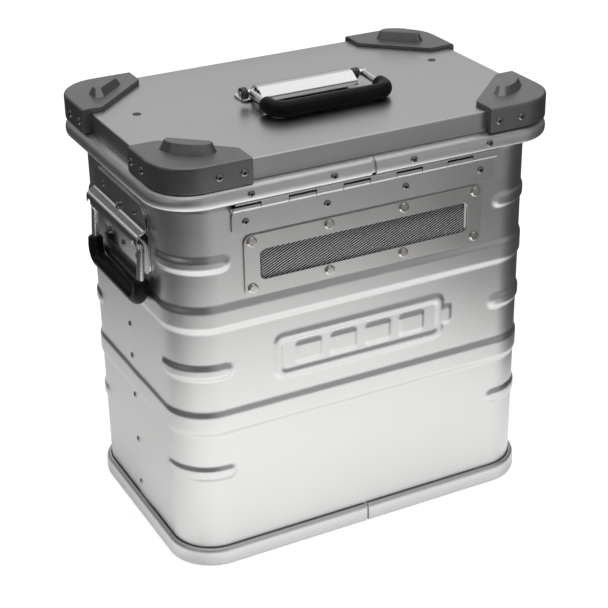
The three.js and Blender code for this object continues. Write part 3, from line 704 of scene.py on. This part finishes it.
def lid_pan():
    """A shallow tray: skirt and rolled edge as a ring, the flat top closing it."""
    rows = [lid_loop(a, z) for a, z in LID_PAN]
    n = len(rows[0])
    faces = quads(len(rows), n)
    top, under = (len(rows) - 1) * n, len(rows) * n
    faces.append(list(range(top, top + n)))
    faces.append(list(range(under, under + n))[::-1])
    faces += [[under + j, under + (j + 1) % n, (j + 1) % n, j] for j in range(n)]
    return fix(np.concatenate(rows + [lid_loop(10.9, 399.8)]), faces)


piece("lid_cover", [lid_pan()], LID_SATIN, "lid", "lid_pan", sharp=50)
piece("lid_board", [loft([lid_loop(18.2, 372.4), lid_loop(17.4, 373.2), lid_loop(17.4, 380.4)])],
      BOARD, "lid", "lid_liner")
piece("lid_gasket", [ring(lid_loop, rect(23.4, 17.4, 366.1, 372.1))], SEAL, "lid",
      "lid_seal")
SCREW_HEAD = [(0, 4.0), (0.2, 3.9), (0.45, 3.3), (0.4, 2.4), (0.15, 1.6), (0.12, 0.02)]
for s, side in ((-1, "left"), (1, "right")):
    piece(f"lid_top_screw_{side}", [turned(SCREW_HEAD, "z", (s * 155, 27, 401.05))], DULL, "lid",
          f"lid_screw_{side}", sharp=30)


# Two caps sit a little further out than the other two, and each lug has its own
# place. "end" is where the cap is cut off, "inner" its cut-back inner corners, and
# "long" and "side" hold two rivet places along the wall and their height.
CAP_A = {"half": (196, 129), "z": (381.2, 404.6), "end": (114.4, 51.3),
         "inner": ((168.5, 51.3, 5), (114.4, 101.9, 6)),
         "long": (122.7, 145.5, 392.6), "side": (59.6, 82.5, 393.0)}
CAP_B = {"half": (198.6, 130.8), "z": (382.2, 405.4), "end": (120.5, 50),
         "inner": ((178.5, 50, 5), (120.5, 104.8, 5)),
         "long": (129.4, 153.1, 392.8), "side": (60.0, 83.0, 392.0)}
CAP_BEND, LUG_TOP, PLATE_Z = 40, 412.5, 401.3
# Each lug's outline at its foot and at its top, in the first quarter of the lid
LUGS = {
    "latch_right": (
        [(138.4, 101.2), (168.6, 73.2), (174.9, 77), (174.8, 84), (173, 92), (167, 101),
         (157.5, 107.6), (149, 110.5), (143.5, 110.3), (138.2, 105.5)],
        [(141.2, 102.8), (170.3, 77.6), (172.4, 80), (171.6, 88.3), (166.7, 97.9), (161.5, 102),
         (155.9, 105.4), (150.5, 107.5), (147.4, 108.3), (142.5, 106.5)]),
    "latch_left": (
        [(141, 100.5), (168, 74), (176, 74.5), (177.5, 88), (172, 97), (163, 104), (151, 108),
         (143.5, 104.5)],
        [(145, 100), (168.5, 79), (173.5, 80.5), (174.3, 87), (169.5, 94.5), (161, 101),
         (153, 103.6), (147, 103)]),
    "hinge_left": (
        [(134, 98), (168.3, 66.8), (174.4, 71.5), (173.8, 77.5), (170.8, 84.5), (165.5, 93),
         (157.5, 100.2), (147.8, 104.7), (140, 104.2), (135.8, 101.8)],
        [(136.6, 95.4), (166.8, 68.3), (170.4, 71.3), (170.1, 77), (167.6, 83.8), (161.6, 90.8),
         (155, 96.4), (148, 99.4), (141.2, 100.3), (137, 98.9)]),
    "hinge_right": (
        [(144.6, 97.5), (176, 70.2), (184.5, 72.5), (184, 80), (181, 88.5), (175, 95.7),
         (168, 102), (158, 106), (150.5, 107.7), (145.5, 104.5)],
        [(149.3, 95.3), (178.5, 70.5), (182.5, 73), (181.5, 80), (178.5, 86.5), (173.5, 92.5),
         (166.6, 98.8), (159, 101.9), (153.5, 102.3), (149.6, 100)]),
}


def cap_parts(sx, sy, cap, lug):
    """A corner cap: an outer wall round the corner, a top plate with a cut-back
    inner edge, and a tapered stacking lug."""
    (hx, hy), (z0, z1), (end_x, end_y) = cap["half"], cap["z"], cap["end"]
    arc = np.arange(25) / 24 * pi / 2
    lead = [0.0, 0.08, 0.26, 0.6]  # stations that round off the cut ends
    deep = hx - 190.4  # the wall reaches in to the lid cover

    def path(inset):
        x, y, q = hx - inset, hy - inset, CAP_BEND - inset
        bx, by = hx - CAP_BEND, hy - CAP_BEND
        side = [(x, end_y + v) for v in lead]
        side += [(x, v) for v in np.linspace(end_y + 4, by, 4)[:-1]]
        bend = [(bx + q * cos(a), by + q * sin(a)) for a in arc]
        front = [(v, y) for v in np.linspace(bx, end_x + 4, 6)[1:]]
        front += [(end_x + v, y) for v in reversed(lead)]
        return np.array(side + bend + front)

    wall = [(deep, 382.7), (deep - 1.4, z0 + 0.3), (1.0, z0), (0.25, z0 + 0.3), (0.0, z0 + 1.2),
            (0.0, z1 - 3.0), (0.18, z1 - 1.9), (0.65, z1 - 0.95), (1.5, z1 - 0.3),
            (2.6, z1 - 0.03), (3.6, z1)]
    prof = np.array(wall)
    grad = np.gradient(prof, axis=0)
    grad /= np.linalg.norm(grad, axis=1)[:, None]
    m = len(path(0))
    soft = np.zeros(m)
    for i, v in enumerate(lead):  # the ends are rounded by lead[-1]
        soft[i] = soft[m - 1 - i] = lead[-1] - sqrt(0.36 - (lead[-1] - v) ** 2)
    rows = []
    for (i, z), (gi, gz) in zip(wall, grad):
        ends = [path(i + p * abs(gz))[j] for j, p in enumerate(soft)]
        rows.append([(x, y, z - p * gi) for (x, y), p in zip(ends, soft)])
    points = [p for row in rows for p in row]
    # the top plate runs from the last wall row to the cut-back inner outline
    line = np.array(fillet([(hx - deep - 0.5, end_y, 0), *cap["inner"],
                            (end_x, hy - deep - 0.5, 0)], n=5))
    d = np.r_[0, np.cumsum(np.linalg.norm(np.diff(line, axis=0), axis=1))]
    spare = np.delete(np.linspace(0, d[-1], m),
                      np.linspace(1, m - 2, len(d) - 2).round().astype(int))
    even = np.sort(np.r_[d[1:-1], spare])
    inner = np.stack([np.interp(even, d, line[:, k]) for k in (0, 1)], 1)
    run = np.gradient(inner, axis=0)
    run /= np.linalg.norm(run, axis=1)[:, None]
    for z, pull in ((z1, 0.8), (z1 - 0.2, 0.3), (z1 - 0.8, 0.0), (PLATE_Z, 0.0)):
        points += [(x + v * pull, y - u * pull, z) for (x, y), (u, v) in zip(inner, run)]
    points += [(x, y, PLATE_Z) for x, y in path(deep)]
    count = len(points) // m
    last = (count - 1) * m
    faces = quads(count, m, open_row=True)
    faces += [[last + j, last + j + 1, j + 1, j] for j in range(m - 1)]
    ends = [[i * m + j for i in range(count)] for j in (0, m - 1)]
    faces += [ends[0], ends[1][::-1]]
    body = fix(np.array(points) * (sx, sy, 1), [f[::-1] for f in faces] if sx * sy < 0 else faces)

    easy = [2.2, 2.2, 3.0] + [9.0] * (len(lug[0]) - 5) + [5.0, 2.5]  # corner radii
    low, high = (np.array(fillet([(x, y, r) for (x, y), r in zip(q, easy)], True, 4)) * (sx, sy)
                 for q in lug)
    mid = high.mean(0)
    skirt = low.mean(0) + (low - low.mean(0)) * 1.04
    rows = [at(skirt, "z", z1 - 0.5), at(skirt, "z", z1 + 0.03), at(low, "z", z1 + 0.7),
            at(low + (high - low) * 0.88, "z", LUG_TOP - 1.1),
            at(mid + (high - mid) * 0.99, "z", LUG_TOP - 0.35),
            at(mid + (high - mid) * 0.955, "z", LUG_TOP)]
    return [body, loft(rows)]


for sx, sy, name, cap in ((1, 1, "latch_right", CAP_A), (-1, 1, "latch_left", CAP_B),
                          (-1, -1, "hinge_left", CAP_A), (1, -1, "hinge_right", CAP_B)):
    piece(f"cap_{name}", cap_parts(sx, sy, cap, LUGS[name]), CAST, "lid",
          f"corner_cap_{name}", sharp=50, crisp=True)
    for x in cap["long"][:2]:
        rivet("lid", (sx * x, sy * cap["half"][1], cap["long"][2]), "y", sy, 3.6)
    for y in cap["side"][:2]:
        rivet("lid", (sx * cap["half"][0], sy * y, cap["side"][2]), "x", sx, 3.6)

# ---- handles ------------------------------------------------------------
ROD, GRIP = 3.5, 7.0


def handle(prefix, body, place, span, length, start, axle=(), thick=GRIP):
    """A bent bar that hangs from its axle, with a moulded grip over its far side."""
    lo, hi = span
    loop = fillet([(lo, 0, 5), (lo, length, 13), (hi, length, 13), (hi, 0, 5)], True, 10)
    core = fillet([(lo, start, 0), (lo, length, 13), (hi, length, 13), (hi, start, 0)], False, 14)
    steps = [0.0, 0.35, 0.9, 1.8, 3.2]
    line = [(lo, start + s) for s in steps] + core[1:-1] + [(hi, start + s) for s in reversed(steps)]
    ease = {0: -1.7, 1: -0.7, 2: -0.25, 3: -0.05}  # the grip's ends are rounded off

    def grip(i):
        return thick + ease.get(min(i, len(line) - 1 - i), 0.0)

    piece(f"{prefix}_bail_fine", [bar(loop, place, ROD, True, 24), *axle], STEEL, body,
          f"{prefix}_bail", sharp=50)
    piece(f"{prefix}_grip_fine", [bar(line, place, grip, False, 28, ROD + 0.2)], RUBBER, body,
          f"{prefix}_grip", sharp=60)


def smooth_line(line, times=2):
    return [tuple(p) for p in rounded(line, times, False)]


HOOD_TOP, HOOD_T = 348.5, 1.6
hood_line = smooth_line([(2.55, HOOD_TOP), (2.55, 330.5), (2.7, 327.4), (5.4, 325.0), (9.2, 323.2),
                         (11.3, 320.8), (11.8, 317.8), (11.8, 313.2)])
for s, side in ((-1, "left"), (1, "right")):
    body = f"{side}_handle"
    wall = lambda d: s * (BODY[0] + d)
    c, k = cos(radians(3.5)), sin(radians(3.5))  # the bar leans out
    back = rloop(62.5, 33.25, 12, 12, 0, 315.25)
    piece(f"{side}_back_plate", [prism(back, "x", wall(0.1), wall(1.45))], PLATE, "case",
          f"{side}_handle_backplate", bevel=0.35)

    # The hood is one bent sheet: stations run along its length, with the top
    # corners rounded in the flat part and clearance notches in the lip.
    def hood():
        prof = np.array(hood_line)
        d = np.gradient(prof, axis=0)
        d /= np.linalg.norm(d, axis=1)[:, None]
        nrm = np.stack([-d[:, 1], d[:, 0]], 1) * HOOD_T / 2
        half = [51.1, 51.3, 55.5, 59.9, 60.1, 60.45, 60.75, 61.0]
        ys = np.array([-v for v in reversed(half)] + list(np.linspace(-50.5, 50.5, 41)) + half)
        pts, m = [], len(prof)
        for y in ys:
            over = max(0.0, abs(y) - 49)
            cut = 12 - sqrt(max(0.0, 144 - over * over))
            thin = 0.35 if abs(y) > 60.9 else (0.8 if abs(y) > 60.7 else 1.0)
            for sign in (1, -1):
                for (a, b), n in zip(prof, nrm * sign * thin):
                    top = min(b + n[1], HOOD_TOP - cut * smooth((b - 326) / 10))
                    low = 317.3 if (51.2 < abs(y) < 60 and b < 317.3) else top
                    pts.append((wall(a + n[0]), y, max(top, low)))
        row = 2 * m
        faces = []
        for i in range(len(ys) - 1):
            a, b = i * row, (i + 1) * row
            for j in range(m - 1):
                faces.append([a + j, a + j + 1, b + j + 1, b + j])
                faces.append([a + m + j, b + m + j, b + m + j + 1, a + m + j + 1])
            faces.append([a, b, b + m, a + m])
            faces.append([a + m - 1, a + 2 * m - 1, b + 2 * m - 1, b + m - 1])
        for i in (0, len(ys) - 1):
            a = i * row
            ends = [[a + j, a + m + j, a + m + j + 1, a + j + 1] for j in range(m - 1)]
            faces += ends if i == 0 else [f[::-1] for f in ends]
        return fix(pts, faces)

    piece(f"{side}_hood_fine", [hood()], PLATE, "case", f"{side}_handle_hood",
          sharp=45, weld=True)
    place = lambda a, b, h: (wall(6.4 + b * k + h * c), a, 311.5 - b * c + h * k)
    handle(f"{side}_handle", body, place, (-55.6, 55.6), 52.5, 33.0)
    for y in (-37.7, 37.7):
        rivet("case", (wall(3.35), y, 337.2), "x", s)
    for y in (-33.2, 0, 33.2):
        rivet("case", (wall(1.45), y, 292), "x", s)
    for z in (34, 82.6, 132, 174.5, 208, 239):
        rivet("case", (wall(0.0), 2.0, z), "x", s, 3.1)
    # a short spring stud through the hood
    stud = [(323, 1.3), (324, 1.5), (331.4, 1.5), (332.2, 1.2), (332.6, 0.02)]
    nut = [(0, 2.4), (1.0, 2.4), (1.2, 2.0), (1.2, 0.02)]
    piece(f"{side}_hood_stud", [turned(stud, "z", (wall(4.9), 0, 0), 18),
                                turned(nut, "z", (wall(4.9), 0, 325.2), 18)],
          STEEL, "case", sharp=35)

TY, TZ = 2.0, 411.5  # the top handle's axle
ct, kt = cos(radians(2.84)), sin(radians(2.84))  # it lies a little down
stub = turned([(-64.8, 2.2), (-64.4, 2.9), (66.0, 2.9), (66.4, 2.2)], "x", (0, TY, TZ), 22)
handle("top_handle", "top_handle", lambda a, b, h: (a, TY - b * ct - h * kt, TZ - b * kt + h * ct),
       (-53.0, 63.0), 50.5, 31.0, [stub], 7.6)

roof = smooth_line([(16, 402.4), (13.2, 404), (10.9, 409.4), (7.4, 414.4), (2.2, 416.8),
                    (-3.4, 416.3), (-9.5, 413.1), (-13.6, 409.8), (-15, 406.2)])


def pierced(outline, centre, radius, x0, x1, n=48):
    """A plate across X with a round bore, from rays out of the bore's centre."""
    poly, c, tiny = np.array(outline, float), np.array(centre, float), 1e-9
    edge, hole = [], []
    for i in range(n):
        u = np.array([cos(i / n * TURN), sin(i / n * TURN)])
        for p, q in zip(poly, np.roll(poly, -1, 0)):
            if abs(np.cross(u, p - q)) <= tiny:
                continue  # this side runs along the ray
            t, w = np.linalg.solve(np.stack([u, p - q], 1), p - c)
            if t > 0 and -tiny <= w <= 1 + tiny:
                edge.append(c + u * t)
                break
        hole.append(c + u * radius)
    return window(edge, hole, x0, x1, "x")


bracket = [prism(rloop(59, 11.5, 4, 8, 0, 17.5), "z", PLATE_Z, 403.1),
           prism(strip(roof, 1.6), "x", -49, 49)]
for s in (-1, 1):
    bracket.append(pierced([(-3.5, 402.4), (14.2, 402.4), (13.2, 404), (10.8, 409.4), (7.2, 414.2),
                            (2.2, 416.6), (-3.6, 416.1)],
                           (TY, TZ), 3.9, *sorted((s * 45.6, s * 47.2))))
piece("top_bracket_fine", bracket, PLATE, "lid", "top_handle_bracket", bevel=0.3)


def coil(x0, x1, r, wire, turns):
    """A torsion spring round the top handle's axle."""
    steps = 24  # in one turn
    m = int(turns * steps)
    rows = []
    for i in range(m + 1):
        a = i / steps * TURN
        x = x0 + (x1 - x0) * i / m
        rows.append([(x + wire * cos(w), TY + (r + wire * sin(w)) * cos(a),
                      TZ + (r + wire * sin(w)) * sin(a))
                     for w in np.arange(10) / 10 * TURN])
    return loft(rows)


piece("top_springs", [coil(-63.0, -57.7, 4.9, 0.9, 2.75), coil(50.4, 58.0, 4.6, 0.8, 4.5)], SPRING,
      "lid", sharp=60)

# ---- latches on the far side -------------------------------------------
def both(outline, cx, near, far):
    """The same plate on either side of a latch."""
    return [prism(outline, "x", *sorted((cx + s * near, cx + s * far))) for s in (-1, 1)]


for cx, side in ((-95, "left"), (95, "right")):
    out = lambda u: BODY[1] + u
    pivot = (cx, out(20), 340)
    tab = fillet([(out(u), z, r) for u, z, r in (
        (1, 328, 0), (16, 334, 2), (24, 336, 3.9), (24, 344, 3.9), (16, 344, 3), (1, 351, 0))], True)
    parts = [prism(rloop(13, 16, 3, 6, cx, 338), "y", out(0.3), out(1.9))]
    parts += both(tab, cx, 9, 10.5)
    piece(f"{side}_latch_bracket", parts, HINGE, "case", f"latch_base_{side}",
          bevel=0.3)
    pin = [(-14.1, 1.3), (-13.8, 1.75), (13.8, 1.75), (14.1, 1.3)]
    piece(f"{side}_latch_pin", [turned(pin, "x", pivot, 20)], STEEL, "case",
          f"latch_pin_{side}")
    web = strip(smooth_line([(24.9, 336), (24.9, 313), (25.6, 306), (29.5, 298)]), 1.5)
    flange = fillet([(out(u), z, r) for u, z, r in (
        (24.9, 308, 0), (24.9, 338, 2), (23, 343.6, 3.5), (16.6, 343.4, 3.5), (14.1, 333, 2),
        (14.3, 326.6, 3))], True)
    parts = [prism([(out(u), z) for u, z in web], "x", cx - 14, cx + 14)]
    parts += both(flange, cx, 12.5, 14)
    piece(f"{side}_latch_lever", parts, STEEL, f"lever_{side}",
          f"latch_lever_{side}", bevel=0.3)
    wire = fillet([(12.7, 0, 0), (15.9, 0, 1.6), (15.9, 46, 3.2), (-15.9, 46, 3.2),
                   (-15.9, 0, 1.6), (-12.7, 0, 0)])
    place = lambda a, b, h: (cx + a, out(17.5) + h, 330 - b)
    piece(f"{side}_latch_wire", [bar(wire, place, 1.5, False, 16)], STEEL, f"loop_{side}",
          f"latch_loop_{side}", sharp=60)
    hook = [(out(u), z) for u, z in (
        (15.9, 368.5), (17.2, 368.5), (17.2, 370.6), (22, 372.6), (22, 373.9), (20.6, 374.2),
        (17.2, 374.2), (17.2, 380), (15.9, 380))]
    piece(f"{side}_keeper_fine", [prism(hook, "x", cx - 12, cx + 12)], STEEL, "lid",
          f"latch_keeper_{side}", bevel=0.25)

for body, (parts, kinds) in blind.items():
    piece(f"{body}_blind_rivets", parts, [BLIND, HOLLOW_SHADE], body, sharp=35,
          faces_mat=kinds, weld=True)

# ---- floor, light and camera -------------------------------------------
FLOOR_HALF, FLOOR_Z = 9, -0.0004  # metres, from here on
ground = bpy.data.meshes.new("floor")
ground.from_pydata([(x * FLOOR_HALF, y * FLOOR_HALF, FLOOR_Z)
                    for x, y in ((-1, -1), (1, -1), (1, 1), (-1, 1))], [], [(0, 1, 2, 3)])
floor = show("floor", ground)
paper = Nodes("floor_paper")
# The floor carries a painted pool of light: it glows close to the case, as a lit white table does,
# with a painted contact shadow at the foot, and reads as white to the camera.
calc = paper.math
where = paper.add("SeparateXYZ", {"Vector": paper.place})
reach = [calc("MAXIMUM", calc("SUBTRACT", calc("ABSOLUTE", where.outputs[i]), foot), 0.0)
         for i, foot in ((0, 0.19), (1, 0.125))]
widen = paper.ramp(where.outputs[0], -0.1, 0.1, 1.3, 2.4)  # narrower to the right
squares = [calc("POWER", calc("MULTIPLY", reach[0], widen), 2.0), calc("POWER", reach[1], 2.0)]
away = calc("SQRT", calc("ADD", *squares))
glow = paper.add("MapRange", {"Value": away, "From Min": 0.36, "From Max": 0.66, "To Min": 1.0,
                              "To Max": 0.0}, interpolation_type="SMOOTHSTEP").outputs["Result"]
contact_shadow = paper.ramp(away, 0.0, 0.035, 0.45, 1.0)  # painted contact shadow: darker against the foot
seen = paper.add("LightPath").outputs["Is Camera Ray"]
ahead = paper.ramp(where.outputs[1], 0.10, -0.30, 0.62, 1.45)  # painted light, stronger on the hinge side
fade = paper.ramp(where.outputs[0], -0.05, 0.40, 1.0, 0.80)
lit = calc("MULTIPLY", calc("MULTIPLY", glow, contact_shadow), calc("MULTIPLY", ahead, fade))
shown = paper.add("Mix", {"Factor": seen, "A": lit, "B": 0.72}, data_type="FLOAT").outputs[0]
# the floor's colour is painted light too: pale in the pool round the case, dark further off and
# behind, white to the camera
behind = paper.ramp(where.outputs[1], 0.15, 0.45, 1.0, 0.35)
edge = calc("MAXIMUM", calc("MULTIPLY", glow, behind), seen)
paper.set(Base_Color=paper.tint(edge, (0.10, 0.10, 0.10), (0.78, 0.78, 0.78)), Roughness=0.9,
          Specular_IOR_Level=0.1, Emission_Color=(1, 1, 1, 1), Emission_Strength=shown)
ground.materials.append(paper.mat)

world = bpy.data.worlds.new("studio")
bpy.context.scene.world = world
world.use_nodes = True
tree = world.node_tree
sky = next(n for n in tree.nodes if n.type == "BACKGROUND")
sky.inputs["Color"].default_value = (1.0, 1.0, 1.0, 1)
dim = tree.nodes.new("ShaderNodeMapRange")  # dim as a light, white to the camera
dim.inputs["To Min"].default_value, dim.inputs["To Max"].default_value = 0.16, 1.0
tree.links.new(tree.nodes.new("ShaderNodeLightPath").outputs["Is Camera Ray"], dim.inputs["Value"])
tree.links.new(dim.outputs["Result"], sky.inputs["Strength"])
bpy.context.scene.view_settings.view_transform = "Standard"


def softbox(name, where, look, size, power):
    """A rectangular light aimed at a point, with its size in metres and its watts."""
    light = bpy.data.lights.new(name, "AREA")
    light.shape, light.size, light.size_y, light.energy = "RECTANGLE", size[0], size[1], power
    obj = show(name, light)
    obj.location = where
    obj.rotation_euler = (Vector(look) - Vector(where)).to_track_quat("-Z", "Y").to_euler()


softbox("top", (0.1, 0.1, 1.7), (0.1, 0.1, 0), (1.9, 1.9), 13)
softbox("back", (1.0, 2.2, 1.6), (0, 0, 0.4), (3.2, 1.8), 11)
softbox("card", (0.4, -0.78, 0.5), (0.4, 0, 0.5), (1.2, 1.0), 1.3)
softbox("streak", (-1.0, 1.75, 1.15), (0, 0, 0.35), (0.35, 0.9), 0.6)
softbox("left", (-2.2, -0.6, 1.4), (0, 0, 0.2), (1.2, 1.2), 2)

CAMERA_MM = np.array([-639.99, -1246.10, 886.95])
AZIMUTH, ELEVATION, ROLL = (radians(v) for v in (-27.201, 27.151, -0.927))
cam = bpy.data.cameras.new("camera")
cam.sensor_width, cam.lens = 36.0, 94.0553289474
cam.shift_x, cam.shift_y = -0.00623355263158, 0.0228947368421
view = show("camera", cam)
back = Vector((sin(AZIMUTH) * cos(ELEVATION), -cos(AZIMUTH) * cos(ELEVATION),
               sin(ELEVATION)))
right = (-back).cross(Vector((0, 0, 1))).normalized()
up = right.cross(-back)
rolled = (right * cos(ROLL) + up * sin(ROLL), up * cos(ROLL) - right * sin(ROLL))
spin = Matrix((*rolled, back)).transposed()
view.matrix_world = Matrix.Translation(Vector((CAMERA_MM + SHIFT) * MM)) @ spin.to_4x4()
bpy.context.scene.camera = view

bpy.context.view_layer.update()
